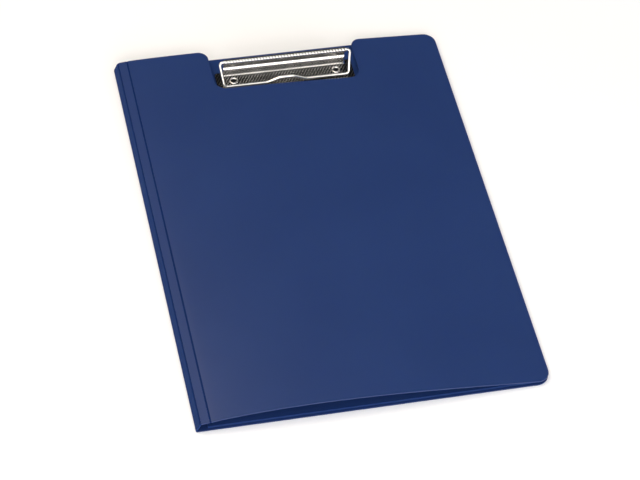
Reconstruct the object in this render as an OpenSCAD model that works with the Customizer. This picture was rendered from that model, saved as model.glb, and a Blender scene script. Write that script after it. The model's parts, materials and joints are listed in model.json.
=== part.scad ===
// Folding clipboard: a polypropylene folder with a stiff back, a lean spine and a bowed front cover,
// and a knurled steel plate whose wire bail holds the sheets. The origin is under the middle of the
// folder, +Y points to the clip end and +Z up. All lengths are in millimetres.

/* [Folder] */
// Width of the closed folder, from the spine to the open edge
folder_w = 236; // [200:1:260]
// Length of the folder along the spine
folder_l = 320; // [280:1:360]
// Thickness of the polypropylene sheet
sheet_t = 1; // [0.8:0.1:1.2]
// Thickness of the stiff board on the back
board_t = 1.6; // [1:0.1:2.4]
// How far the board stays inside the back cover's edges
board_inset = 1.5; // [1:0.5:4]
// Radius of the two corners on the open side
corner_r = 8.5; // [5:0.5:14]

/* [Spine and folds] */
// Distance between the two fold lines of the spine
spine_w = 7.9; // [6.5:0.1:11]
// Angle of the spine above the back when closed, in degrees
spine_angle = 69.3; // [62:0.1:80]
// Width of the flat strip between the spine and the front cover
strip_w = 6.5; // [5:0.1:10]
// Slope of that strip when closed, in degrees
strip_angle = 8; // [4:0.5:12]
// Thickness that is left in a fold line
fold_t = 0.4; // [0.3:0.05:0.5]
// Room between the full-thickness edges at the tightest fold
fold_clear = 0.08; // [0.05:0.01:0.2]
// Room between a thin tongue's end and the round edge that it turns beside
tongue_clear = 0.06; // [0.04:0.01:0.15]

/* [Front cover] */
// Gap between the front cover's open edge and the board
cover_gap = 0.3; // [0.2:0.1:0.6]
// Height of the cover's bow at the end without the clip
bow_low_end = 7.1; // [4:0.1:9]
// Height of the cover's bow at the clip end
bow_clip_end = 2.5; // [1.5:0.1:4]
// Room between the clip's foot and the side of the cut-out
notch_side_gap = 3; // [2:0.5:6]
// Room between the swinging bail and the cut-out's edge
notch_clear = 0.8; // [0.5:0.1:2]
// Radius inside the cut-out
notch_inner_r = 8.5; // [5:0.5:11]
// Radius where the cut-out meets the cover's end
notch_outer_r = 7; // [4:0.5:10]

/* [Clip plate] */
// Distance of the clip's middle from the folder's middle
clip_x = 2; // [-4:0.5:6]
// Distance from the folder's end to the upright's back
clip_from_end = 18.2; // [14:0.2:24]
// Thickness of the steel plate
plate_t = 0.8; // [0.7:0.05:1]
// Width of the foot
foot_w = 100; // [94:1:120]
// Depth of the foot in front of the upright
foot_depth = 18.2; // [17:0.2:22]
// How far the foot's end tabs reach behind the upright
tab_reach = 2.4; // [1.5:0.1:4]
// Corner radius of the foot
foot_r = 2.2; // [1:0.1:3]
// Width of the upright and of the roll on its top
upright_w = 88.6; // [80:0.2:90]
// Width of the slit between the upright and each tab
slit_w = 1.2; // [0.8:0.1:2]
// Radius of the bend from foot to upright, at the middle of the plate
bend_r = 1.2; // [0.9:0.1:1.6]
// Height of the roll's axis above the foot
roll_rise = 15.2; // [14:0.1:18]
// How far the roll sits forward of the upright's front and back faces
roll_forward = 0.2; // [0.1:0.05:0.4]
// Height of the stiffening rib above the foot
rib_rise = 6.4; // [6:0.1:8]
// Height of the rib along the upright
rib_h = 4.4; // [4:0.1:5]
// How far the rib stands forward
rib_out = 1.2; // [0.8:0.1:1.3]

/* [Bail and rivets] */
// Diameter of the bail's wire
wire_d = 2; // [1.8:0.1:2.2]
// Running room of the wire in the roll
wire_clear = 0.08; // [0.05:0.01:0.1]
// Length of wire inside each end of the roll
journal_l = 12; // [8:0.5:16]
// Room between the bar and the foot
bar_gap = 0.15; // [0.1:0.05:0.3]
// How far the bar lies in front of the roll's axis
bar_reach = 10.7; // [10:0.1:11.4]
// How far each knee stands outside the roll's end
knee_out = 3.4; // [2.6:0.1:4.4]
// How far the bar's corners stand outside the roll's ends
bar_out = 1.2; // [0.8:0.1:2]
// Width of the finger hump at its base
hump_w = 28.6; // [24:0.2:36]
// Width of the flat top of the hump
hump_top_w = 10; // [8:0.5:14]
// Height of the hump above the bar
hump_h = 4.1; // [3:0.1:5]
// Distance from each end of the foot to its rivet
rivet_from_end = 12.5; // [11:0.5:16]
// Distance from the upright's back to the rivets
rivet_from_back = 7; // [6.6:0.1:7.4]
// Diameter of the hole through a rivet
rivet_bore_d = 3.6; // [3:0.1:4]
// Wall of a rivet's barrel
rivet_wall = 0.4; // [0.3:0.05:0.5]
// How far the rolled head stands out around the barrel
rivet_lip = 1.1; // [0.8:0.1:1.3]
// Depth of the recess under the back for the rivet's set end
recess_depth = 0.6; // [0.5:0.05:0.6]

/* [Hidden] */
$fn = 64;
pp_blue = [0.13, 0.21, 0.42];
board_blue = [0.11, 0.18, 0.37];
nickel = [0.80, 0.80, 0.79];
over = 1;  // how far a cutting shape runs past what it cuts
tongue_grip = 0.5;  // how far a tongue runs on into the bowed cover
half_w = folder_w / 2;
half_l = folder_l / 2;
board_top = sheet_t + board_t;

// The fold lines, as points in the cross-section [x, z]
panel_stop = sheet_t / 2 / tan(spine_angle / 2) + fold_clear;
fold_stop = fold_t / 2 / tan(spine_angle / 2) + tongue_clear;
back_fold = [-half_w + fold_t / 2, sheet_t / 2];
spine_fold = back_fold + spine_w * [cos(spine_angle), sin(spine_angle)];
cover_fold = spine_fold + strip_w * [cos(strip_angle), sin(strip_angle)];
cover_edge = [half_w, board_top + cover_gap + sheet_t / 2];
cover_chord = cover_edge - cover_fold;
cover_angle = atan2(cover_chord[1], cover_chord[0]);
cover_start = cover_fold + panel_stop * [cos(cover_angle), sin(cover_angle)];

// The bow is highest a third of the way from the fold
bow_rise = 0.85;
bow_fall = 1.3;
bow_peak_u = bow_rise / (bow_rise + bow_fall);
cover_cols = 26;
cover_rows = 8;
cover_crowding = 1.3;  // over 1 brings the columns closer together beside the fold
function bow_form(u) = pow(u, bow_rise) * pow(1 - u, bow_fall);
function mix(a, b, s) = a + (b - a) * s;
function bow_height(y) = mix(bow_low_end, bow_clip_end, (y + half_l) / folder_l);
function cover_mid(u, y) =
    mix(cover_start[1], cover_edge[1], u) + bow_height(y) * bow_form(u) / bow_form(bow_peak_u);
function cover_u(x) = (x - cover_start[0]) / (cover_edge[0] - cover_start[0]);

// Clip levels and places
foot_mid = board_top + plate_t / 2;
foot_top = board_top + plate_t;
upright_back = half_l - clip_from_end;
upright_y = upright_back - plate_t / 2;
foot_front = upright_back - foot_depth;
wire_r = wire_d / 2;
roll_bore_r = wire_r + wire_clear;
roll_r = roll_bore_r + plate_t;
roll_z = foot_top + roll_rise;
roll_y = upright_y - roll_bore_r - plate_t / 2 - roll_forward;
bar_y = roll_y - bar_reach;
bar_z = foot_top + bar_gap + wire_r;
rivet_pitch = foot_w - 2 * rivet_from_end;
rivet_y = upright_back - rivet_from_back;
rivet_r = rivet_bore_d / 2 + rivet_wall;
rivet_fit = 0.05;
set_inset = 0.1;  // the set end is this much smaller than the rolled head
head_lift = 0.2;  // height of the middle of the head's round edge above the foot
rib_steps = 16;
journal_out = 0.6;
knee_r = 2.2;
corner_bend_r = 2.4;
hump_r = 4;
bend_steps = 6;
tube_sides = 14;
tube_inset = 0.005;  // keeps the tube's flat sides inside the round ends that turn in the roll

// The cut-out ends where the bail's bar, on its swing, passes the cover's upper face
notch_half = foot_w / 2 + notch_side_gap;
bail_swing_r = norm([bar_reach, roll_z - bar_z]) + wire_r;
notch_face_z = cover_mid(cover_u(clip_x - upright_w / 2), bar_y) + sheet_t / 2;
notch_y = roll_y - sqrt(pow(bail_swing_r, 2) - pow(roll_z - notch_face_z, 2)) - notch_clear;

function unit(v) = v / norm(v);
function arc_points(centre, r, from, to, n) =
    [for (i = [0:n]) let (a = mix(from, to, i / n)) centre + r * [cos(a), sin(a)]];
function heading(path, i) = unit(path[min(i + 1, len(path) - 1)] - path[max(i - 1, 0)]);
function beside(path, d) =
    [for (i = [0:len(path) - 1]) let (h = heading(path, i)) path[i] + d * [-h[1], h[0]]];
function reversed(list) = [for (i = [len(list) - 1:-1:0]) list[i]];
function band(path, t) = concat(beside(path, t / 2), reversed(beside(path, -t / 2)));

// Stands a cross-section [x, z] up and draws it out along Y over the folder's length
module along_folder() {
    translate([0, half_l, 0]) rotate([90, 0, 0]) linear_extrude(folder_l) children();
}

// Draws a cross-section [y, z] out along X over a width about the clip's middle
module along_clip(width) {
    translate([clip_x - width / 2, 0, 0]) rotate([90, 0, 90]) linear_extrude(width) children();
}

module rounded_box(x0, y0, x1, y1, r) {
    translate([x0 + r, y0]) square([x1 - x0 - 2 * r, y1 - y0]);
    translate([x0, y0 + r]) square([x1 - x0, y1 - y0 - 2 * r]);
    for (x = [x0 + r, x1 - r], y = [y0 + r, y1 - r]) translate([x, y]) circle(r);
}

// A plate outline with square corners at the spine and round ones on the open side
module leaf_outline(x0, x1, y0, y1, r) {
    translate([x0, y0]) square([(x1 - x0) / 2, y1 - y0]);
    rounded_box(x0, y0, x1, y1, r);
}

// One flat panel between two fold lines, from the first fold at angle a: the first fold has a thin
// tongue that ends just short of the axis, the second a tongue with a round edge on it
module folded_panel(fold, width, a) {
    along_folder() translate(fold) rotate(a) {
        translate([fold_stop, -fold_t / 2]) square([width - fold_stop, fold_t]);
        translate([panel_stop, -sheet_t / 2]) square([width - 2 * panel_stop, sheet_t]);
        translate([width, 0]) circle(fold_t / 2);
    }
}

module at_rivets() {
    for (side = [-1, 1]) translate([clip_x + side * rivet_pitch / 2, rivet_y, 0]) children();
}

module rivet_holes() {
    at_rivets() translate([0, 0, -over]) cylinder(h = foot_top + 2 * over, r = rivet_r + rivet_fit);
}

module back_cover() {
    color(pp_blue) {
        difference() {
            linear_extrude(sheet_t)
                leaf_outline(back_fold[0] + panel_stop, half_w, -half_l, half_l, corner_r);
            rivet_holes();
            at_rivets() translate([0, 0, -over])
                cylinder(h = recess_depth + over, r = rivet_r + rivet_lip + rivet_fit);
        }
        along_folder() translate(back_fold) {
            translate([0, -fold_t / 2]) square([panel_stop + over, fold_t]);
            circle(fold_t / 2);
        }
    }
}

module back_board() {
    color(board_blue) difference() {
        translate([0, 0, sheet_t]) linear_extrude(board_t)
            leaf_outline(back_fold[0] + spine_w, half_w - board_inset,
                         -half_l + board_inset, half_l - board_inset, corner_r - board_inset);
        rivet_holes();
    }
}

module spine() {
    color(pp_blue) folded_panel(back_fold, spine_w, spine_angle);
}

module hinge_strip() {
    color(pp_blue) folded_panel(spine_fold, strip_w, strip_angle);
}

// The bowed sheet as a closed shell: a grid of points above and one below
module bowed_sheet() {
    row = cover_cols + 1;
    layer = row * (cover_rows + 1);
    points = [for (side = [1, -1], j = [0:cover_rows], i = [0:cover_cols])
        let (u = pow(i / cover_cols, cover_crowding), y = mix(-half_l, half_l, j / cover_rows))
        [mix(cover_start[0], cover_edge[0], u), y, cover_mid(u, y) + side * sheet_t / 2]];
    cells = [for (j = [0:cover_rows - 1], i = [0:cover_cols - 1]) j * row + i];
    upper = [for (c = cells) each [[c, c + row, c + row + 1], [c, c + row + 1, c + 1]]];
    lower = [for (c = cells) each [[c + layer, c + layer + row + 1, c + layer + row],
                                   [c + layer, c + layer + 1, c + layer + row + 1]]];
    rim = concat([for (i = [0:cover_cols]) i],
                 [for (j = [1:cover_rows]) j * row + cover_cols],
                 [for (i = [cover_cols - 1:-1:0]) cover_rows * row + i],
                 [for (j = [cover_rows - 1:-1:1]) j * row]);
    walls = [for (k = [0:len(rim) - 1]) let (a = rim[k], b = rim[(k + 1) % len(rim)])
        each [[a, b, b + layer], [a, b + layer, a + layer]]];
    polyhedron(points, concat(upper, lower, walls));
}

// Seen from above: round corners on the open side and the cut-out round the clip
module cover_outline() {
    difference() {
        leaf_outline(back_fold[0], half_w, -half_l, half_l, corner_r);
        rounded_box(clip_x - notch_half, notch_y, clip_x + notch_half, half_l + 3 * corner_r,
                    notch_inner_r);
        for (side = [-1, 1]) translate([clip_x + side * notch_half, half_l]) difference() {
            square(2 * notch_outer_r, center = true);
            translate([side * notch_outer_r, -notch_outer_r]) circle(notch_outer_r);
            translate([side * notch_outer_r, -2 * notch_outer_r])
                square(2 * notch_outer_r, center = true);
        }
    }
}

module front_cover() {
    color(pp_blue) {
        intersection() {
            bowed_sheet();
            linear_extrude(cover_fold[1] + bow_low_end + 2 * over) cover_outline();
        }
        along_folder() translate(cover_fold) rotate(cover_angle)
            translate([fold_stop, -fold_t / 2]) square([panel_stop - fold_stop + tongue_grip, fold_t]);
    }
}

// Middle line of the upright from the foot's bend over the rib to the roll, as [y, z]
function upright_path() = concat(
    [[upright_y - bend_r - over, foot_mid]],
    arc_points([upright_y - bend_r, foot_mid + bend_r], bend_r, -90, 0, 6),
    [for (k = [0:rib_steps]) let (s = k / rib_steps)
        [upright_y - rib_out * (1 - cos(360 * s)) / 2, foot_top + rib_rise + rib_h * (s - 0.5)]],
    [[roll_y + roll_bore_r + plate_t / 2, roll_z]]);

module foot() {
    slit = upright_w / 2 + slit_w;
    difference() {
        translate([0, 0, board_top]) linear_extrude(plate_t) difference() {
            rounded_box(clip_x - foot_w / 2, foot_front,
                        clip_x + foot_w / 2, upright_back + tab_reach, foot_r);
            translate([clip_x - slit, upright_y - bend_r])
                square([2 * slit, bend_r + plate_t + tab_reach + over]);
        }
        rivet_holes();
    }
}

module clip_plate() {
    color(nickel) {
        foot();
        along_clip(upright_w) polygon(band(upright_path(), plate_t));
        along_clip(upright_w) translate([roll_y, roll_z]) difference() {
            circle(roll_r);
            circle(roll_bore_r);
        }
    }
}

// Points along the round bend of radius r at corner i of a path
function bend_points(path, i, r) =
    let (back = unit(path[i - 1] - path[i]),
         on = unit(path[i + 1] - path[i]),
         inside = acos(back * on),
         centre = path[i] + unit(back + on) * r / sin(inside / 2),
         start = unit(path[i] + back * r / tan(inside / 2) - centre))
    [for (k = [0:bend_steps]) let (a = (180 - inside) * k / bend_steps)
        centre + r * (start * cos(a) - back * sin(a))];

// A path with each inner corner rounded to its radius in bends
function rounded_path(path, bends) =
    let (last = len(path) - 1)
    concat([path[0]], [for (i = [1:last - 1]) each bend_points(path, i, bends[i])], [path[last]]);

// A round tube along a path: across is a direction that the path never takes
module tube(path, r, across) {
    count = len(path);
    points = [for (i = [0:count - 1], k = [0:tube_sides - 1])
        let (on = i == 0 ? unit(path[1] - path[0])
                : i == count - 1 ? unit(path[i] - path[i - 1])
                : unit(unit(path[i] - path[i - 1]) + unit(path[i + 1] - path[i])),
             side = unit(cross(on, across)),
             up = cross(side, on),
             a = 360 * k / tube_sides)
        path[i] + r * (side * cos(a) + up * sin(a))];
    skin = [for (i = [0:count - 2], k = [0:tube_sides - 1])
        let (a = i * tube_sides + k, b = i * tube_sides + (k + 1) % tube_sides)
        each [[a, b, b + tube_sides], [a, b + tube_sides, a + tube_sides]]];
    ring = [for (k = [0:tube_sides - 1]) k];
    polyhedron(points, concat(skin, [reversed(ring), [for (k = ring) k + (count - 1) * tube_sides]]));
}

// Corners of one half of the bail, from the roll's end to the top of the hump
function bail_half() = [
    [upright_w / 2 + journal_out, roll_y, roll_z],
    [upright_w / 2 + knee_out, roll_y, roll_z],
    [upright_w / 2 + bar_out, bar_y, bar_z],
    [hump_w / 2, bar_y, bar_z],
    [hump_top_w / 2, bar_y, bar_z + hump_h]];

module clip_bail() {
    half = bail_half();
    path = concat(half, [for (p = reversed(half)) [-p[0], p[1], p[2]]]);
    bends = [0, knee_r, corner_bend_r, hump_r, hump_r, hump_r, hump_r, corner_bend_r, knee_r, 0];
    color(nickel) translate([clip_x, 0, 0]) {
        tube(rounded_path(path, bends), wire_r - tube_inset, [0, bar_z - roll_z, roll_y - bar_y]);
        for (side = [0, 1]) mirror([side, 0, 0])
            translate([upright_w / 2 - journal_l, roll_y, roll_z]) rotate([0, 90, 0])
                cylinder(h = journal_l + journal_out, r = wire_r);
    }
}

// A hollow rivet: rolled head on the foot, barrel, and a set end in the recess below
module rivet() {
    lip_r = rivet_r + rivet_lip;
    head_r = (lip_r - rivet_bore_d / 2) / 2;
    set_r = lip_r - set_inset;
    set_z = recess_depth - rivet_wall;
    color(nickel) rotate_extrude() polygon(concat(
        [[rivet_bore_d / 2, set_z], [set_r, set_z], [set_r, recess_depth],
         [rivet_r, recess_depth], [rivet_r, foot_top], [lip_r, foot_top]],
        arc_points([lip_r - head_r, foot_top + head_lift], head_r, 0, 180, 12)));
}

module rivet_left() {
    translate([clip_x - rivet_pitch / 2, rivet_y, 0]) rivet();
}

module rivet_right() {
    translate([clip_x + rivet_pitch / 2, rivet_y, 0]) rivet();
}

back_cover();
back_board();
spine();
hinge_strip();
front_cover();
clip_plate();
clip_bail();
rivet_left();
rivet_right();
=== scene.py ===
import json
import math

import bmesh
import bpy
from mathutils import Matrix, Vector


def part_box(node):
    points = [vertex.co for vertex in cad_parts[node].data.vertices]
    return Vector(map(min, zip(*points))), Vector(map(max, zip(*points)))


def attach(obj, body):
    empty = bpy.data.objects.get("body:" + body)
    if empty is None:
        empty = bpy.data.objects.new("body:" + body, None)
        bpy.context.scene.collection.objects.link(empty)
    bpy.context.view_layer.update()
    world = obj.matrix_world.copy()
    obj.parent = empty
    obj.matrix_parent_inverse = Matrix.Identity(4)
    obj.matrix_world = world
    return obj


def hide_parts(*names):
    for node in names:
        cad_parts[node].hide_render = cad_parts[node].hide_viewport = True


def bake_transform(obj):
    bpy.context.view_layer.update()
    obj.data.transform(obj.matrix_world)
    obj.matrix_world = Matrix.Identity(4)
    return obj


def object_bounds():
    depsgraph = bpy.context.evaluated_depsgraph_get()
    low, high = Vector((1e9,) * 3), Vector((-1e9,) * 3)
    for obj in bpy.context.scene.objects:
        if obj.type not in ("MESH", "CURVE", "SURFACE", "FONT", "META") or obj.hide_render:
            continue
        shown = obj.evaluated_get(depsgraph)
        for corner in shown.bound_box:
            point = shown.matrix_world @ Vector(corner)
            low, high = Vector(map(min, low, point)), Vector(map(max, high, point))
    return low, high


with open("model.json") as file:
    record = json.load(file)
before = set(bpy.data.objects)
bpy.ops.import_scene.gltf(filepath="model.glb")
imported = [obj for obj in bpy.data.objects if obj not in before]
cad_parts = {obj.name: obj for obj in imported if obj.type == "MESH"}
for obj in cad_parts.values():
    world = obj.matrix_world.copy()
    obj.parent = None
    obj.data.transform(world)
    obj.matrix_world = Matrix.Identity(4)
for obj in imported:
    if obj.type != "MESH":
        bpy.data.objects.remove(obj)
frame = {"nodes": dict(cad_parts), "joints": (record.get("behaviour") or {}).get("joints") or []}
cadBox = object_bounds()
print("frame loaded with", len(frame["nodes"]), "nodes")

mm = 0.001
near = 0.01 * mm  # for picking out vertices by their place
weld = 0.001 * mm  # vertices closer than this become one
tiny = 1e-7  # slack where two lengths in metres are compared
joints = {joint["name"]: joint for joint in frame["joints"]}


# Small tools that every piece uses

def selectOnly(piece):
    bpy.ops.object.select_all(action="DESELECT")
    piece.select_set(True)
    bpy.context.view_layer.objects.active = piece


def nameNew(name):
    piece = bpy.context.object
    piece.name = name
    piece.data.name = name
    return piece


def settle(piece):  # the object ends at the origin, its place in its mesh
    selectOnly(piece)
    bpy.ops.object.transform_apply(location=True, rotation=True, scale=True)


def editWhere(piece, kind, test):  # edit mode, with only what passes the test selected
    selectOnly(piece)
    bpy.ops.object.mode_set(mode="EDIT")
    bpy.ops.mesh.select_mode(type=kind)
    bpy.ops.mesh.select_all(action="DESELECT")
    mesh = bmesh.from_edit_mesh(piece.data)
    for element in {"VERT": mesh.verts, "EDGE": mesh.edges, "FACE": mesh.faces}[kind]:
        if test(element):
            element.select_set(True)
    bmesh.update_edit_mesh(piece.data)


def leaveEdit():
    bpy.ops.object.mode_set(mode="OBJECT")


def cutLines(piece, axis, places):  # bisects the whole mesh at each place along an axis
    normal = [0, 0, 0]
    normal[axis] = 1
    selectOnly(piece)
    bpy.ops.object.mode_set(mode="EDIT")
    for place in places:
        point = [0, 0, 0]
        point[axis] = place
        bpy.ops.mesh.select_all(action="SELECT")
        bpy.ops.mesh.bisect(plane_co=point, plane_no=normal, threshold=tiny)
    leaveEdit()


def applyModifier(piece, kind, **settings):
    selectOnly(piece)
    modifier = piece.modifiers.new(kind.lower(), kind)
    for name, value in settings.items():
        setattr(modifier, name, value)
    bpy.ops.object.modifier_apply(modifier=modifier.name)


def roundEdges(piece, width, segments=2, angle=50):
    applyModifier(piece, "BEVEL", width=width, segments=segments, limit_method="ANGLE",
                  angle_limit=math.radians(angle))


def smoothUnder(piece, angle):
    selectOnly(piece)
    bpy.ops.object.shade_smooth_by_angle(angle=math.radians(angle))


def keepFlat(piece):  # large faces stay flat in the light beside their rounded edges
    applyModifier(piece, "WEIGHTED_NORMAL", keep_sharp=True, weight=100)


def mix(a, b, share):
    return a + (b - a) * share


# Fold lines of the sheet, in the cross-section (x, z)

sheet = {
    "thickness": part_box("back_cover")[1].z,
    "foldThickness": 0.4 * mm,
    "edgeRadius": 0.07 * mm,
    "cornerRadius": 8.5 * mm,
    "cornerSegments": 12,
    "boardInset": 1.5 * mm,
    "smoothAngle": 35,
    "webTuck": 0.12 * mm,  # how far a web reaches into the panels beside it
    "webSteps": 12,
    "webSmoothAngle": 50,
}
folds = {name: Vector((joints[name]["pos_m"][0], 0, joints[name]["pos_m"][2]))
         for name in ("spine_fold", "strip_fold", "cover_fold")}
lowY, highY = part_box("back_cover")[0].y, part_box("back_cover")[1].y
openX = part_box("front_cover")[1].x
coverEdge = Vector((openX, 0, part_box("front_cover")[0].z + sheet["thickness"] / 2))
spineWay = (folds["strip_fold"] - folds["spine_fold"]).normalized()
stripWay = (folds["cover_fold"] - folds["strip_fold"]).normalized()
coverWay = (coverEdge - folds["cover_fold"]).normalized()
backWay = Vector((1, 0, 0))
# How far from its fold line each panel ends
stops = {"spine_fold": 0.8 * mm, "strip_fold": 0.42 * mm, "cover_fold": 0.62 * mm}


# Back cover, board and the flat panels

def makeLeaf(name, low, high, cornerRadius):
    bpy.ops.object.select_all(action="DESELECT")
    bpy.ops.mesh.primitive_cube_add(size=1, location=(low + high) / 2)
    leaf = nameNew(name)
    leaf.scale = high - low
    settle(leaf)
    editWhere(leaf, "EDGE", lambda edge: all(v.co.x > high.x - near for v in edge.verts)
              and abs(edge.verts[0].co.z - edge.verts[1].co.z) > near)
    bpy.ops.mesh.bevel(offset=cornerRadius, segments=sheet["cornerSegments"], affect="EDGES")
    leaveEdit()
    return leaf


def boreLeaf(leaf, centre, radius, low, high):
    bpy.ops.object.select_all(action="DESELECT")
    bpy.ops.mesh.primitive_cylinder_add(vertices=bores["sides"], radius=radius, depth=high - low,
                                        location=(centre.x, centre.y, (high + low) / 2))
    cutter = nameNew("boreCutter")
    settle(cutter)
    applyModifier(leaf, "BOOLEAN", operation="DIFFERENCE", object=cutter, solver="EXACT")
    bpy.data.objects.remove(cutter)


def boxMiddle(node):
    low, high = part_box(node)
    return (low + high) / 2


rivetNodes = ["rivet_left", "rivet_right"]
bores = {
    "radius": 2.25 * mm,
    "recessRadius": 3.35 * mm,
    "recessDepth": 0.6 * mm,
    "below": -1 * mm,  # heights that are safely past the sheet and the board
    "aboveSheet": 2 * mm,
    "aboveBoard": 5 * mm,
    "sides": 48,
}

backLow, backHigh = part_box("back_cover")
backStart = Vector((folds["spine_fold"].x + stops["spine_fold"], backLow.y, 0))
backSheet = makeLeaf("backSheet", backStart, backHigh, sheet["cornerRadius"])
boardLow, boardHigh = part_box("back_board")
backPlate = makeLeaf("backPlate", boardLow, boardHigh, sheet["cornerRadius"] - sheet["boardInset"])
for node in rivetNodes:
    middle = boxMiddle(node)
    boreLeaf(backSheet, middle, bores["radius"], bores["below"], bores["aboveSheet"])
    boreLeaf(backSheet, middle, bores["recessRadius"], bores["below"], bores["recessDepth"])
    boreLeaf(backPlate, middle, bores["radius"], 0, bores["aboveBoard"])
for leaf in (backSheet, backPlate):
    roundEdges(leaf, sheet["edgeRadius"])
    smoothUnder(leaf, sheet["smoothAngle"])
    keepFlat(leaf)
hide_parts("back_cover")
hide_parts("back_board")
print("back cover and board made")


def makePanel(name, start, end, startStop, endStop):
    way = (end - start).normalized()
    a, b = start + way * startStop, end - way * endStop
    middle = ((a.x + b.x) / 2, (lowY + highY) / 2, (a.z + b.z) / 2)
    bpy.ops.object.select_all(action="DESELECT")
    bpy.ops.mesh.primitive_cube_add(size=1, location=middle)
    panel = nameNew(name)
    panel.scale = ((b - a).length, highY - lowY, sheet["thickness"])
    panel.rotation_euler = (0, -math.atan2(way.z, way.x), 0)
    settle(panel)
    roundEdges(panel, sheet["edgeRadius"])
    smoothUnder(panel, sheet["smoothAngle"])
    keepFlat(panel)
    return panel


spinePanel = makePanel("spinePanel", folds["spine_fold"], folds["strip_fold"],
                       stops["spine_fold"], stops["strip_fold"])
stripPanel = makePanel("stripPanel", folds["strip_fold"], folds["cover_fold"],
                       stops["strip_fold"], stops["cover_fold"])
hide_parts("spine")
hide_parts("hinge_strip")


# Front cover: a flat sheet with its cut-out, bowed, then given its thickness

bow = {
    "lowEnd": 7.1 * mm,
    "clipEnd": 2.5 * mm,
    "rise": 0.85,  # powers of the curve on the spine's side and on the open side
    "fall": 1.3,
    "columns": 72,
    "crowding": 1.2,  # more than 1 brings the columns together towards the spine
    "rows": 40,
    "flatLimit": 0.01,  # radians, for joining the flat sheet's faces before it is bowed
    "edgeAngle": 60,
}
notch = {
    "sideGap": 3 * mm,
    "swingGap": 0.8 * mm,
    "uprightInset": 5.7 * mm,  # from the foot's end to the upright's
    "innerRadius": 8.5 * mm,
    "outerRadius": 7 * mm,
    "segments": 10,
}
coverStart = folds["cover_fold"] + coverWay * stops["cover_fold"]


def bowForm(u):
    return u ** bow["rise"] * (1 - u) ** bow["fall"]


def coverHeight(x, y):  # height of the sheet's middle
    u = min(max((x - coverStart.x) / (coverEdge.x - coverStart.x), 0), 1)
    peak = bowForm(bow["rise"] / (bow["rise"] + bow["fall"]))
    sag = mix(bow["lowEnd"], bow["clipEnd"], (y - lowY) / (highY - lowY))
    return mix(coverStart.z, coverEdge.z, u) + sag * bowForm(u) / peak


plateLow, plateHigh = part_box("clip_plate")
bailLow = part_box("clip_bail")[0]
clipX = (plateLow.x + plateHigh.x) / 2
rollAxis = Vector((clipX, joints["bail_hinge"]["pos_m"][1], joints["bail_hinge"]["pos_m"][2]))
wireRadius = 1 * mm
barY, barZ = bailLow.y + wireRadius, bailLow.z + wireRadius


def notchEdge():  # the bail's bar swings past the cover with a small gap
    reach = math.hypot(rollAxis.y - barY, rollAxis.z - barZ) + wireRadius
    face = coverHeight(plateLow.x + notch["uprightInset"], barY) + sheet["thickness"] / 2
    return rollAxis.y - math.sqrt(reach ** 2 - (rollAxis.z - face) ** 2) - notch["swingGap"]


def makeCover():
    notchLow, notchHigh = plateLow.x - notch["sideGap"], plateHigh.x + notch["sideGap"]
    notchY = notchEdge()
    width, length = openX - coverStart.x, highY - lowY
    bpy.ops.object.select_all(action="DESELECT")
    bpy.ops.mesh.primitive_plane_add(
        size=1, location=((coverStart.x + openX) / 2, (lowY + highY) / 2, 0))
    cover = nameNew("frontSheet")
    cover.scale = (width, length, 1)
    settle(cover)
    cutLines(cover, 0, [notchLow, notchHigh])
    cutLines(cover, 1, [notchY])
    editWhere(cover, "FACE", lambda face: notchLow < face.calc_center_median().x < notchHigh
              and face.calc_center_median().y > notchY)
    bpy.ops.mesh.delete(type="FACE")
    leaveEdit()
    editWhere(cover, "FACE", lambda face: True)
    bpy.ops.mesh.dissolve_limited(angle_limit=bow["flatLimit"])
    leaveEdit()

    def onNotch(v):
        return abs(v.co.x - notchLow) < near or abs(v.co.x - notchHigh) < near

    corners = [
        (notch["outerRadius"], lambda v: v.co.y > highY - near and onNotch(v)),
        (notch["innerRadius"], lambda v: abs(v.co.y - notchY) < near and onNotch(v)),
        (sheet["cornerRadius"], lambda v: v.co.x > openX - near
         and (v.co.y > highY - near or v.co.y < lowY + near)),
    ]
    for radius, test in corners:
        editWhere(cover, "VERT", test)
        bpy.ops.mesh.bevel(offset=radius, segments=notch["segments"], affect="VERTICES")
        leaveEdit()
    cutLines(cover, 0, [coverStart.x + width * (i / bow["columns"]) ** bow["crowding"]
                        for i in range(1, bow["columns"])])
    cutLines(cover, 1, [lowY + length * j / bow["rows"] for j in range(1, bow["rows"])])
    for vertex in cover.data.vertices:
        vertex.co.z = coverHeight(vertex.co.x, vertex.co.y)
    applyModifier(cover, "SOLIDIFY", thickness=sheet["thickness"], offset=0, use_even_offset=True)
    roundEdges(cover, sheet["edgeRadius"], angle=bow["edgeAngle"])
    smoothUnder(cover, sheet["smoothAngle"])
    keepFlat(cover)
    return cover


frontSheet = makeCover()
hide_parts("front_cover")
print("front cover made")


# The thin web of sheet that is left in each fold line

def makeWeb(name, fold, wayA, wayB, stop):
    reach = stop + sheet["webTuck"]
    start, end = fold + wayA * reach, fold + wayB * reach
    bpy.ops.object.select_all(action="DESELECT")
    bpy.ops.mesh.primitive_grid_add(x_subdivisions=sheet["webSteps"], y_subdivisions=1, size=1)
    web = nameNew(name)
    for vertex in web.data.vertices:
        t = vertex.co.x + 0.5
        point = start * (1 - t) ** 2 + fold * 2 * t * (1 - t) + end * t ** 2
        vertex.co = (point.x, lowY if vertex.co.y < 0 else highY, point.z)
    applyModifier(web, "SOLIDIFY", thickness=sheet["foldThickness"], offset=0, use_even_offset=True)
    smoothUnder(web, sheet["webSmoothAngle"])
    return web


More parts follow.
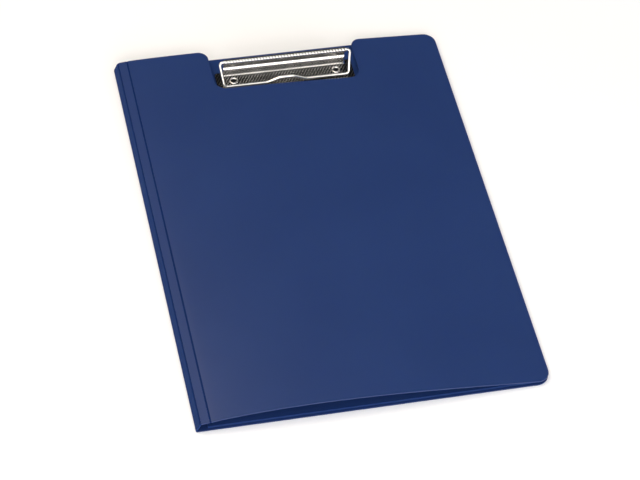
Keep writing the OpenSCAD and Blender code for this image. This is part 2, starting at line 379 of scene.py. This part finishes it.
webPlans = [
    ("backFoldWeb", "board", "spine", "spine_fold", backWay, spineWay),
    ("spineFoldWeb", "spine", "strip", "strip_fold", -spineWay, stripWay),
    ("coverFoldWeb", "strip", "cover", "cover_fold", -stripWay, coverWay),
]
webs = []
for name, bodyA, bodyB, fold, wayA, wayB in webPlans:
    web = makeWeb(name, folds[fold], wayA, wayB, stops[fold])
    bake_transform(web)
    webs.append(web)
print("fold webs made")


# Clip plate: one flat blank with a knurl, cut, then bent and rolled along its section

plate = {
    "footThickness": 0.8 * mm,
    "thickness": 0.62 * mm,  # leaves room for the knurl's relief
    "uprightHalf": 44.3 * mm,
    "slit": 1.2 * mm,
    "bendRadius": 1.2 * mm,
    "bendSteps": 8,
    "rollRadius": 1.48 * mm,
    "rollTurn": 285,
    "rollSteps": 40,
    "ribOut": 1.2 * mm,
    "ribHeight": 4.4 * mm,
    "ribRise": 6.4 * mm,
    "ribSteps": 24,
    "cornerRadius": 2.2 * mm,
    "holeCut": 2.5 * mm,  # radius in which the faces round a rivet are cut away
    "holeRadius": 2.4 * mm,
    "holeFade": 1 * mm,  # width in which the knurl fades in round a rivet
    "columnStep": 0.36 * mm,
    "rowStep": 0.36 * mm,
    "uprightInset": 2.8 * mm,
    "smoothAngle": 60,
}
knurl = {
    "pitchX": 2.2 * mm,
    "pitchY": 3.3 * mm,
    "relief": 0.18 * mm,
    "middle": 0.35,  # the height of the tooth that lies on the blank's own surface
    "uprightShare": 0.42,  # weaker there, so that the bright bands stay whole
    # share of the painted groove shade that the upright and the roll get
    "uprightShadeShare": 0.36,
    "darkReflectionFrom": 15,  # degrees round the roll between which a dark reflection is painted into the metal's colour
    "darkReflectionTo": 103,
    "darkReflectionFade": 8,
    "lean": 0.75,  # 0 is a plain diamond knurl, 1 is slanting ridges only
}
footTop = plateLow.z + plate["footThickness"]
footZ = plateLow.z + plate["footThickness"] / 2
uprightY = plateHigh.y - plate["uprightInset"]
bendStart = uprightY - plate["bendRadius"]
slitStart = bendStart - plateLow.y
tabEnd = plateHigh.y - plateLow.y
footHalf = (plateHigh.x - plateLow.x) / 2
slitIn, slitOut = plate["uprightHalf"], plate["uprightHalf"] + plate["slit"]
rivetHoles = [Vector((boxMiddle(node).x - clipX, boxMiddle(node).y - plateLow.y))
              for node in rivetNodes]


def sectionPoints():  # middle line of the bent sheet as (y, z), from the foot's front edge
    points = [(plateLow.y, footZ), (bendStart, footZ)]
    for i in range(1, plate["bendSteps"] + 1):
        a = math.radians(-90 + 90 * i / plate["bendSteps"])
        points.append((bendStart + plate["bendRadius"] * math.cos(a),
                       footZ + plate["bendRadius"] * (1 + math.sin(a))))
    ribLow = footTop + plate["ribRise"] - plate["ribHeight"] / 2
    for i in range(plate["ribSteps"] + 1):
        share = i / plate["ribSteps"]
        points.append((uprightY - plate["ribOut"] * (1 - math.cos(2 * math.pi * share)) / 2,
                       ribLow + plate["ribHeight"] * share))
    for i in range(plate["rollSteps"] + 1):
        a = math.radians(plate["rollTurn"] * i / plate["rollSteps"])
        points.append((rollAxis.y + plate["rollRadius"] * math.cos(a),
                       rollAxis.z + plate["rollRadius"] * math.sin(a)))
    return points


def sectionLengths(points):
    lengths = [0]
    for a, b in zip(points, points[1:]):
        lengths.append(lengths[-1] + math.dist(a, b))
    return lengths


def alongSection(points, lengths, s):  # point and left-hand normal at length s
    i = max(k for k in range(len(lengths) - 1) if lengths[k] <= s + tiny)
    a, b = points[i], points[i + 1]
    share = (s - lengths[i]) / (lengths[i + 1] - lengths[i])
    before, after = points[max(i - 1, 0)], points[min(i + 2, len(points) - 1)]
    headA = (b[0] - before[0], b[1] - before[1])
    headB = (after[0] - a[0], after[1] - a[1])
    head = Vector((mix(headA[0], headB[0], share), mix(headA[1], headB[1], share))).normalized()
    return (mix(a[0], b[0], share), mix(a[1], b[1], share)), (-head.y, head.x)


def wave(t):  # a rounded triangle wave from 0 to 1
    t = abs((t % 1) * 2 - 1)
    return t * t * (3 - 2 * t)


def knurlShape(x, s):  # 1 on a tooth, 0 in the groove between teeth
    rise = wave(x / knurl["pitchX"] - s / knurl["pitchY"])
    cross = wave(x / knurl["pitchX"] + s / knurl["pitchY"])
    return mix(rise * cross, rise, knurl["lean"])


def rollDarkReflection(s, lengths):  # painted dark reflection: a dark line along the roll's back and top
    rollStart = lengths[-plate["rollSteps"] - 1]
    turned = plate["rollTurn"] * (s - rollStart) / (lengths[-1] - rollStart)
    low, high = knurl["darkReflectionFrom"], knurl["darkReflectionTo"]
    return min(max(min(turned - low, high - turned) / knurl["darkReflectionFade"], 0), 1)


def cutBlank(total):  # flat, with x across and y along the section, its slits and holes cut
    bpy.ops.object.select_all(action="DESELECT")
    bpy.ops.mesh.primitive_grid_add(
        x_subdivisions=int(2 * footHalf / plate["columnStep"]),
        y_subdivisions=int(total / plate["rowStep"]), size=1, location=(0, total / 2, 0))
    blank = nameNew("knurledPlate")
    blank.scale = (2 * footHalf, total, 1)
    settle(blank)
    cutLines(blank, 0, [-slitOut, -slitIn, slitIn, slitOut])
    cutLines(blank, 1, [slitStart, tabEnd])

    def cutAway(face):
        c = face.calc_center_median()
        inSlit = slitIn < abs(c.x) < slitOut and c.y > slitStart
        besideUpright = abs(c.x) > slitIn and c.y > tabEnd
        return inSlit or besideUpright or any(
            (c.xy - hole).length < plate["holeCut"] for hole in rivetHoles)

    editWhere(blank, "FACE", cutAway)
    bpy.ops.mesh.delete(type="FACE")
    leaveEdit()
    return blank


def roundCorner(x, s):  # pulls the foot's outer corners in to their radius
    r = plate["cornerRadius"]
    cornerX = footHalf - r
    cornerS = r if s < tabEnd / 2 else tabEnd - r
    beyond = Vector((abs(x) - cornerX, s - cornerS))
    outer = beyond.x > 0 and (s < r or (s > tabEnd - r and abs(x) > slitOut))
    if outer and beyond.length > r:
        beyond = beyond.normalized() * r
        return math.copysign(cornerX + beyond.x, x), cornerS + beyond.y
    return x, s


def makeClipPlate():
    points = sectionPoints()
    lengths = sectionLengths(points)
    piece = cutBlank(lengths[-1])
    paintedShadeLayer = piece.data.attributes.new("toothAndShade", "FLOAT", "POINT")  # low where shade is painted into the colour
    for vertex in piece.data.vertices:
        x, s = vertex.co.x, vertex.co.y
        toothAndShade = knurlShape(x, s)
        if s <= slitStart + tiny or abs(x) >= slitOut - tiny:
            x, s = roundCorner(x, s)
            gap = min((Vector((x, s)) - hole).length for hole in rivetHoles)
            share = min(max((gap - plate["holeRadius"]) / plate["holeFade"], 0), 1)
            rise = knurl["relief"] * share * (toothAndShade - knurl["middle"])
            vertex.co = (clipX + x, plateLow.y + s, footZ + rise)
            # painted shade in the foot's knurl grooves, faded out round the rivets
            shown = mix(1, toothAndShade, share)
        else:
            place, normal = alongSection(points, lengths, s)
            share = mix(1, knurl["uprightShare"], min((s - slitStart) / plate["bendRadius"], 1))
            rise = knurl["relief"] * share * (toothAndShade - knurl["middle"])
            vertex.co = (clipX + x, place[0] + normal[0] * rise, place[1] + normal[1] * rise)
            # painted shade in the grooves, weaker on the upright and the roll, and a painted dark
            # reflection along the roll
            shown = mix(1, toothAndShade, knurl["uprightShadeShare"]) * (1 - rollDarkReflection(s, lengths))
        paintedShadeLayer.data[vertex.index].value = shown
    applyModifier(piece, "SOLIDIFY", thickness=plate["thickness"], offset=0, use_even_offset=False)
    smoothUnder(piece, plate["smoothAngle"])
    return piece


knurledPlate = makeClipPlate()
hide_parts("clip_plate")
print("clip plate made with", len(knurledPlate.data.polygons), "faces")


# Bail: a ring that is drawn straight and spun round each bend of the wire

bail = {
    "sides": 24,
    "journal": 12 * mm,
    "kneeOut": 3.4 * mm,
    "barOut": 1.2 * mm,
    "humpHalf": 14.3 * mm,
    "humpTopHalf": 5 * mm,
    "humpHeight": 4.1 * mm,
    "kneeRadius": 2.2 * mm,
    "cornerRadius": 2.4 * mm,
    "humpRadius": 4 * mm,
    "bendStep": 12,  # degrees
    "fewestSteps": 4,
    "smoothAngle": 50,
}


def bailCorners():  # each corner of the wire with its bend radius
    end = plate["uprightHalf"]
    half = [
        (end - bail["journal"], rollAxis.y, rollAxis.z, 0),
        (end + bail["kneeOut"], rollAxis.y, rollAxis.z, bail["kneeRadius"]),
        (end + bail["barOut"], barY, barZ, bail["cornerRadius"]),
        (bail["humpHalf"], barY, barZ, bail["humpRadius"]),
        (bail["humpTopHalf"], barY, barZ + bail["humpHeight"], bail["humpRadius"]),
    ]
    right = [(Vector((clipX + x, y, z)), r) for x, y, z, r in half]
    left = [(Vector((clipX - x, y, z)), r) for x, y, z, r in reversed(half)]
    return right + left


def makeBail():
    corners = bailCorners()
    bpy.ops.object.select_all(action="DESELECT")
    bpy.ops.mesh.primitive_circle_add(
        vertices=bail["sides"], radius=wireRadius, fill_type="NOTHING",
        location=corners[0][0], rotation=(0, math.pi / 2, 0))
    wire = nameNew("bailWire")
    settle(wire)
    bpy.ops.object.mode_set(mode="EDIT")
    bpy.ops.mesh.select_mode(type="VERT")
    bpy.ops.mesh.select_all(action="SELECT")
    here = corners[0][0]
    for i in range(1, len(corners)):
        corner, radius = corners[i]
        back = (corners[i - 1][0] - corner).normalized()
        if i == len(corners) - 1:
            bpy.ops.mesh.extrude_region_move(TRANSFORM_OT_translate={"value": corner - here})
            break
        onward = (corners[i + 1][0] - corner).normalized()
        inside = back.angle(onward)
        reach = radius / math.tan(inside / 2)
        bendFrom = corner + back * reach
        centre = corner + (back + onward).normalized() * radius / math.sin(inside / 2)
        bpy.ops.mesh.extrude_region_move(TRANSFORM_OT_translate={"value": bendFrom - here})
        axis = (bendFrom - centre).cross(back).normalized()  # spin turns the other way
        turn = math.pi - inside
        steps = max(bail["fewestSteps"], round(math.degrees(turn) / bail["bendStep"]))
        bpy.ops.mesh.spin(steps=steps, angle=turn, center=centre, axis=axis)
        here = corner + onward * reach
    leaveEdit()
    editWhere(wire, "EDGE", lambda edge: edge.is_boundary)
    bpy.ops.mesh.fill()
    bpy.ops.mesh.select_all(action="SELECT")
    bpy.ops.mesh.remove_doubles(threshold=weld)
    bpy.ops.mesh.normals_make_consistent(inside=False)
    leaveEdit()
    smoothUnder(wire, bail["smoothAngle"])
    return wire


bailWire = makeBail()
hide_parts("clip_bail")
print("bail made with", len(bailWire.data.polygons), "faces")


# Rivets: a half section spun about the hole

rivet = {
    "boreRadius": 1.8 * mm,
    "barrelRadius": 2.2 * mm,
    "lipRadius": 3.3 * mm,
    "setRadius": 3.2 * mm,
    "setThickness": 0.4 * mm,
    "headSteps": 10,
    "turnSteps": 48,
    "smoothAngle": 40,
}


def makeRivet(name, node):
    low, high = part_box(node)
    middle = (low + high) / 2
    headRadius = (rivet["lipRadius"] - rivet["boreRadius"]) / 2
    headCentre = rivet["lipRadius"] - headRadius
    headBase = high.z - headRadius
    setTop = low.z + rivet["setThickness"]
    section = [(rivet["boreRadius"], low.z), (rivet["setRadius"], low.z),
               (rivet["setRadius"], setTop), (rivet["barrelRadius"], setTop),
               (rivet["barrelRadius"], footTop), (rivet["lipRadius"], footTop)]
    for i in range(rivet["headSteps"] + 1):
        a = math.pi * i / rivet["headSteps"]
        section.append((headCentre + headRadius * math.cos(a), headBase + headRadius * math.sin(a)))
    bpy.ops.object.select_all(action="DESELECT")
    bpy.ops.mesh.primitive_circle_add(vertices=len(section), radius=mm, fill_type="NOTHING")
    piece = nameNew(name)
    for vertex, (r, z) in zip(piece.data.vertices, section):
        vertex.co = (middle.x + r, middle.y, z)
    editWhere(piece, "EDGE", lambda edge: True)
    bpy.ops.mesh.spin(steps=rivet["turnSteps"], angle=2 * math.pi,
                      center=(middle.x, middle.y, 0), axis=(0, 0, 1))
    bpy.ops.mesh.select_all(action="SELECT")
    bpy.ops.mesh.remove_doubles(threshold=weld)
    bpy.ops.mesh.normals_make_consistent(inside=False)
    leaveEdit()
    paintedShadeLayer = piece.data.attributes.new("toothAndShade", "FLOAT", "POINT")  # painted shade: the bore is darker than the head
    for vertex in piece.data.vertices:
        inBore = (vertex.co.xy - middle.xy).length < rivet["boreRadius"] + near
        paintedShadeLayer.data[vertex.index].value = 0 if inBore else 1
    smoothUnder(piece, rivet["smoothAngle"])
    return piece


rivets = [makeRivet("rivetHead_" + node.split("_")[1], node) for node in rivetNodes]
for piece, node in zip(rivets, rivetNodes):
    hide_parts(node)
print("rivets made")


# Finishes

grain = {"fineScale": 5200, "fineDetail": 3, "fineShare": 0.45, "driftScale": 14, "driftDetail": 2}
polish = {"stretch": (60, 1800, 1800), "streakDetail": 4, "cloudScale": 120, "cloudDetail": 2}
noiseSpread = (0.3, 0.7)  # where most of a noise's values lie


def newGroup(name, inputs, outputs):
    group = bpy.data.node_groups.new(name, "ShaderNodeTree")
    for label, kind in inputs:
        group.interface.new_socket(label, in_out="INPUT", socket_type=kind)
    for label, kind in outputs:
        group.interface.new_socket(label, in_out="OUTPUT", socket_type=kind)
    return group, group.nodes.new("NodeGroupInput"), group.nodes.new("NodeGroupOutput")


def addNoise(nodes, links, place, scale, detail):
    texture = nodes.new("ShaderNodeTexNoise")
    texture.inputs["Scale"].default_value = scale
    texture.inputs["Detail"].default_value = detail
    links.new(place, texture.inputs["Vector"])
    return texture.outputs["Fac"]


def varyRoughness(nodes, links, source, given, result):
    rough = nodes.new("ShaderNodeMapRange")
    rough.inputs["From Min"].default_value, rough.inputs["From Max"].default_value = noiseSpread
    links.new(source, rough.inputs["Value"])
    links.new(given.outputs["Low Roughness"], rough.inputs["To Min"])
    links.new(given.outputs["High Roughness"], rough.inputs["To Max"])
    links.new(rough.outputs["Result"], result.inputs["Roughness"])


def buildGrainGroup():  # moulded grain of plastic sheet, with a slow drift in tone
    group, given, result = newGroup(
        "sheetGrain",
        [("Vector", "NodeSocketVector"), ("Grain Scale", "NodeSocketFloat"),
         ("Low Roughness", "NodeSocketFloat"), ("High Roughness", "NodeSocketFloat")],
        [("Height", "NodeSocketFloat"), ("Roughness", "NodeSocketFloat"),
         ("Drift", "NodeSocketFloat")])
    nodes, links = group.nodes, group.links
    place = given.outputs["Vector"]
    cells = nodes.new("ShaderNodeTexVoronoi")
    cells.feature = "SMOOTH_F1"
    links.new(place, cells.inputs["Vector"])
    links.new(given.outputs["Grain Scale"], cells.inputs["Scale"])
    fine = addNoise(nodes, links, place, grain["fineScale"], grain["fineDetail"])
    drift = addNoise(nodes, links, place, grain["driftScale"], grain["driftDetail"])
    both = nodes.new("ShaderNodeMath")
    both.operation = "MULTIPLY_ADD"
    both.inputs[1].default_value = grain["fineShare"]
    links.new(fine, both.inputs[0])
    links.new(cells.outputs["Distance"], both.inputs[2])
    links.new(both.outputs[0], result.inputs["Height"])
    varyRoughness(nodes, links, fine, given, result)
    links.new(drift, result.inputs["Drift"])
    return group


def buildPolishGroup():  # rolled and plated steel: fine streaks along the strip and soft clouds
    group, given, result = newGroup(
        "platedSteel",
        [("Vector", "NodeSocketVector"), ("Low Roughness", "NodeSocketFloat"),
         ("High Roughness", "NodeSocketFloat")],
        [("Roughness", "NodeSocketFloat"), ("Height", "NodeSocketFloat"),
         ("Tone", "NodeSocketFloat")])
    nodes, links = group.nodes, group.links
    place = given.outputs["Vector"]
    stretch = nodes.new("ShaderNodeMapping")
    stretch.inputs["Scale"].default_value = polish["stretch"]
    links.new(place, stretch.inputs["Vector"])
    streaks = addNoise(nodes, links, stretch.outputs["Vector"], 1, polish["streakDetail"])
    clouds = addNoise(nodes, links, place, polish["cloudScale"], polish["cloudDetail"])
    varyRoughness(nodes, links, clouds, given, result)
    links.new(streaks, result.inputs["Height"])
    links.new(clouds, result.inputs["Tone"])
    return group


grainGroup = buildGrainGroup()
polishGroup = buildPolishGroup()


def startMaterial(name, group):
    material = bpy.data.materials.new(name)
    material.use_nodes = True
    nodes, links = material.node_tree.nodes, material.node_tree.links
    shader = nodes["Principled BSDF"]
    place = nodes.new("ShaderNodeTexCoord")
    effect = nodes.new("ShaderNodeGroup")
    effect.node_tree = group
    links.new(place.outputs["Object"], effect.inputs["Vector"])
    links.new(effect.outputs["Roughness"], shader.inputs["Roughness"])
    bump = nodes.new("ShaderNodeBump")
    links.new(effect.outputs["Height"], bump.inputs["Height"])
    links.new(bump.outputs["Normal"], shader.inputs["Normal"])
    return material, nodes, links, shader, effect, bump


plastic = {
    "ior": 1.49,
    "glow": 0.3,  # the thin sheet lets a little blue through
    "glowReach": (0.25, 0.5, 1.6),
}
plasticLook = {
    "coverBlue": {"light": (0.0150, 0.0390, 0.147), "dark": (0.0130, 0.0350, 0.137),
                  "shine": 0.28, "grain": 2600, "rough": (0.34, 0.44), "bump": 0.012 * mm},
    "spineBlue": {"light": (0.0150, 0.0385, 0.144), "dark": (0.0130, 0.0350, 0.134),
                  "shine": 0.01, "grain": 2600, "rough": (0.44, 0.54), "bump": 0.012 * mm},
    # the fold webs' darker blue is painted shade along the creases
    "foldShadeBlue": {"light": (0.0085, 0.0255, 0.110), "dark": (0.0075, 0.0230, 0.100),
                 "shine": 0.02, "grain": 2600, "rough": (0.44, 0.54), "bump": 0.012 * mm},
    "boardBlue": {"light": (0.0173, 0.0442, 0.163), "dark": (0.0145, 0.0392, 0.150),
                  "shine": 0.08, "grain": 1900, "rough": (0.45, 0.56), "bump": 0.014 * mm},
}
# These settings paint shade into the metal's colour where its attribute is low: in the knurl's
# grooves, as a dark reflection along the roll, and in the rivets' bores
steelLook = {
    "knurledNickel": {"light": (0.79, 0.78, 0.76), "dark": (0.69, 0.68, 0.66),
                      "rough": (0.10, 0.22), "bump": 0.004 * mm,
                      "shadeTone": 0.01, "shadeFrom": 0.59, "shadeTo": 0.86},
    "wireNickel": {"light": (0.82, 0.81, 0.79), "dark": (0.72, 0.71, 0.69),
                   "rough": (0.05, 0.12), "bump": 0.002 * mm},
    "rivetNickel": {"light": (0.83, 0.82, 0.80), "dark": (0.74, 0.73, 0.71),
                    "rough": (0.05, 0.12), "bump": 0.002 * mm,
                    "shadeTone": 0.04, "shadeFrom": 0, "shadeTo": 1},
}


def tone(nodes, links, source, light, dark, shader):  # slow change between two tones
    ramp = nodes.new("ShaderNodeValToRGB")
    for stop, position, colour in zip(ramp.color_ramp.elements, noiseSpread, (dark, light)):
        stop.position = position
        stop.color = (*colour, 1)
    links.new(source, ramp.inputs["Fac"])
    links.new(ramp.outputs["Color"], shader.inputs["Base Color"])


def setRoughness(effect, bump, look):
    effect.inputs["Low Roughness"].default_value = look["rough"][0]
    effect.inputs["High Roughness"].default_value = look["rough"][1]
    bump.inputs["Distance"].default_value = look["bump"]


def makePlastic(name):
    look = plasticLook[name]
    material, nodes, links, shader, effect, bump = startMaterial(name, grainGroup)
    effect.inputs["Grain Scale"].default_value = look["grain"]
    setRoughness(effect, bump, look)
    shader.inputs["IOR"].default_value = plastic["ior"]
    shader.inputs["Specular IOR Level"].default_value = look["shine"]
    shader.inputs["Subsurface Weight"].default_value = plastic["glow"]
    shader.inputs["Subsurface Radius"].default_value = plastic["glowReach"]
    shader.inputs["Subsurface Scale"].default_value = mm
    tone(nodes, links, effect.outputs["Drift"], look["light"], look["dark"], shader)
    return material


def paintShadeByAttribute(nodes, links, shader, look):  # painted shade: multiplies the colour by a darker tone where the attribute is low
    toothAndShade = nodes.new("ShaderNodeAttribute")
    toothAndShade.attribute_name = "toothAndShade"
    shade = nodes.new("ShaderNodeMapRange")
    shade.inputs["From Min"].default_value = look["shadeFrom"]
    shade.inputs["From Max"].default_value = look["shadeTo"]
    shade.inputs["To Min"].default_value = look["shadeTone"]
    blend = nodes.new("ShaderNodeMix")
    blend.data_type, blend.blend_type = "RGBA", "MULTIPLY"
    blend.inputs["Factor"].default_value = 1
    links.new(toothAndShade.outputs["Fac"], shade.inputs["Value"])
    # The node's colour sockets, which share their names with its other kinds
    links.new(shader.inputs["Base Color"].links[0].from_socket, blend.inputs[6])
    links.new(shade.outputs["Result"], blend.inputs[7])
    links.new(blend.outputs[2], shader.inputs["Base Color"])


def makeSteel(name):
    look = steelLook[name]
    material, nodes, links, shader, effect, bump = startMaterial(name, polishGroup)
    setRoughness(effect, bump, look)
    shader.inputs["Metallic"].default_value = 1
    tone(nodes, links, effect.outputs["Tone"], look["light"], look["dark"], shader)
    if "shadeTone" in look:
        paintShadeByAttribute(nodes, links, shader, look)
    return material


coverBlue = makePlastic("coverBlue")
spineBlue = makePlastic("spineBlue")
boardBlue = makePlastic("boardBlue")
foldShadeBlue = makePlastic("foldShadeBlue")
knurledNickel = makeSteel("knurledNickel")
wireNickel = makeSteel("wireNickel")
rivetNickel = makeSteel("rivetNickel")

dressing = [
    (backSheet, coverBlue, "polypropylene", "board"),
    (backPlate, boardBlue, "board", "board"),
    (spinePanel, spineBlue, "polypropylene", "spine"),
    (stripPanel, coverBlue, "polypropylene", "strip"),
    (frontSheet, coverBlue, "polypropylene", "cover"),
    (knurledPlate, knurledNickel, "clip_steel", "board"),
    (bailWire, wireNickel, "wire", "bail"),
    (rivets[0], rivetNickel, "rivet", "board"),
    (rivets[1], rivetNickel, "rivet", "board"),
]
for piece, material, slotName, body in dressing:
    piece.data.materials.clear()
    piece.data.materials.append(material)
    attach(piece, body)
# the fold webs get the darker blue, a painted shade in the creases
for web in webs:
    web.data.materials.clear()
    web.data.materials.append(foldShadeBlue)
print("finishes made and pieces riding")


# Floor, light and camera

stage = {
    "floorSize": 30.0,
    "floorColour": (0.96, 0.975, 1.0),
    "floorRoughness": 0.9,
    "floorShine": 0.1,
    "floorGap": 0.02 * mm,
    "fade": (0.18, 0.42),  # how far out the floor starts and ends turning plain white
    "horizonColour": (0.92, 0.92, 0.92),
    "horizonEnds": 0.08,  # heights in the sky as a share of straight up
    "ceilingColour": (0.06, 0.06, 0.065),
    "ceilingStarts": 0.22,
}
# The highSoftbox hangs where the clip's roll and wire mirror it to the camera
lamps = [
    {"name": "overheadSoftbox", "at": (-0.12, -0.10, 1.70), "size": (1.5, 1.8), "power": 14.7,
     "colour": (1.0, 0.985, 0.96)},
    {"name": "backSoftbox", "at": (-0.80, 0.60, 1.50), "size": (1.0, 1.0), "power": 13,
     "colour": (1.0, 0.84, 0.62)},
    {"name": "rightSoftbox", "at": (1.70, -0.30, 1.10), "size": (1.0, 1.0), "power": 5,
     "colour": (0.94, 0.98, 1.0)},
    {"name": "frontSoftbox", "at": (0.10, -1.75, 0.75), "size": (2.0, 1.0), "power": 24,
     "colour": (1.0, 0.94, 0.90)},
    {"name": "highSoftbox", "at": (0.33, -1.06, 1.31), "size": (0.9, 0.9), "power": 2,
     "colour": (1.0, 1.0, 1.0)},
    {"name": "leftSoftbox", "at": (-1.60, -0.50, 0.90), "size": (0.8, 0.8), "power": 1.5,
     "colour": (0.97, 0.99, 1.0)},
    {"name": "cameraSoftbox", "at": (-0.95, -1.35, 1.15), "size": (0.8, 0.8), "power": 8,
     "colour": (1.0, 0.97, 0.95)},
]
view = {
    "at": (-0.3233, -1.0408, 1.2755),
    "forward": (0.1908, 0.6146, -0.7654),
    "rollDegrees": 6.3,
    "lens": 137.8,
    "sensorWidth": 36,
}


def addMath(nodes, links, operation, a, b):
    node = nodes.new("ShaderNodeMath")
    node.operation = operation
    links.new(a, node.inputs[0])
    links.new(b, node.inputs[1])
    return node.outputs[0]


def fadeToWhite(material, shader):  # far from the object the floor is seen as a white backdrop
    nodes, links = material.node_tree.nodes, material.node_tree.links
    place = nodes.new("ShaderNodeTexCoord")
    distance = nodes.new("ShaderNodeVectorMath")
    distance.operation = "LENGTH"
    fade = nodes.new("ShaderNodeMapRange")
    fade.interpolation_type = "SMOOTHSTEP"
    fade.inputs["From Min"].default_value, fade.inputs["From Max"].default_value = stage["fade"]
    rays = nodes.new("ShaderNodeLightPath").outputs
    seen = addMath(nodes, links, "MAXIMUM", rays["Is Camera Ray"], rays["Is Glossy Ray"])
    seen = addMath(nodes, links, "MAXIMUM", seen, rays["Is Transmission Ray"])
    share = addMath(nodes, links, "MULTIPLY", fade.outputs["Result"], seen)
    white = nodes.new("ShaderNodeEmission")
    blend = nodes.new("ShaderNodeMixShader")
    links.new(place.outputs["Object"], distance.inputs[0])
    links.new(distance.outputs["Value"], fade.inputs["Value"])
    links.new(share, blend.inputs["Fac"])
    links.new(shader.outputs["BSDF"], blend.inputs[1])
    links.new(white.outputs["Emission"], blend.inputs[2])
    links.new(blend.outputs["Shader"], nodes["Material Output"].inputs["Surface"])


def makeFloor():
    bpy.ops.object.select_all(action="DESELECT")
    bpy.ops.mesh.primitive_plane_add(size=stage["floorSize"],
                                     location=(0, 0, cadBox[0].z - stage["floorGap"]))
    floor = nameNew("floor")
    settle(floor)
    material = bpy.data.materials.new("paleFloor")
    material.use_nodes = True
    shader = material.node_tree.nodes["Principled BSDF"]
    shader.inputs["Base Color"].default_value = (*stage["floorColour"], 1)
    shader.inputs["Roughness"].default_value = stage["floorRoughness"]
    shader.inputs["Specular IOR Level"].default_value = stage["floorShine"]
    fadeToWhite(material, shader)
    floor.data.materials.append(material)


def makeWorld():  # pale round the horizon, dark overhead
    world = bpy.data.worlds.new("studio")
    bpy.context.scene.world = world
    world.use_nodes = True
    nodes, links = world.node_tree.nodes, world.node_tree.links
    direction = nodes.new("ShaderNodeTexCoord")
    parts = nodes.new("ShaderNodeSeparateXYZ")
    ramp = nodes.new("ShaderNodeValToRGB")
    ramp.color_ramp.interpolation = "EASE"
    ramp.color_ramp.elements[0].position = stage["horizonEnds"]
    ramp.color_ramp.elements[0].color = (*stage["horizonColour"], 1)
    ramp.color_ramp.elements[1].position = stage["ceilingStarts"]
    ramp.color_ramp.elements[1].color = (*stage["ceilingColour"], 1)
    links.new(direction.outputs["Generated"], parts.inputs["Vector"])
    links.new(parts.outputs["Z"], ramp.inputs["Fac"])
    links.new(ramp.outputs["Color"], nodes["Background"].inputs["Color"])


def makeLamp(lamp):
    light = bpy.data.lights.new(lamp["name"], "AREA")
    light.shape = "RECTANGLE"
    light.size, light.size_y = lamp["size"]
    light.energy = lamp["power"]
    light.color = lamp["colour"]
    holder = bpy.data.objects.new(lamp["name"], light)
    bpy.context.scene.collection.objects.link(holder)
    holder.location = lamp["at"]
    holder.rotation_euler = (-Vector(lamp["at"])).to_track_quat("-Z", "Y").to_euler()


def makeCamera():
    data = bpy.data.cameras.new("camera")
    data.lens = view["lens"]
    data.sensor_width = view["sensorWidth"]
    camera = bpy.data.objects.new("camera", data)
    bpy.context.scene.collection.objects.link(camera)
    camera.location = view["at"]
    camera.rotation_euler = Vector(view["forward"]).to_track_quat("-Z", "Y").to_euler()
    camera.rotation_euler.rotate_axis("Z", math.radians(view["rollDegrees"]))
    bpy.context.scene.camera = camera


makeFloor()
makeWorld()
for lamp in lamps:
    makeLamp(lamp)
makeCamera()
bpy.context.scene.view_settings.view_transform = "Standard"
print("floor, light and camera made")
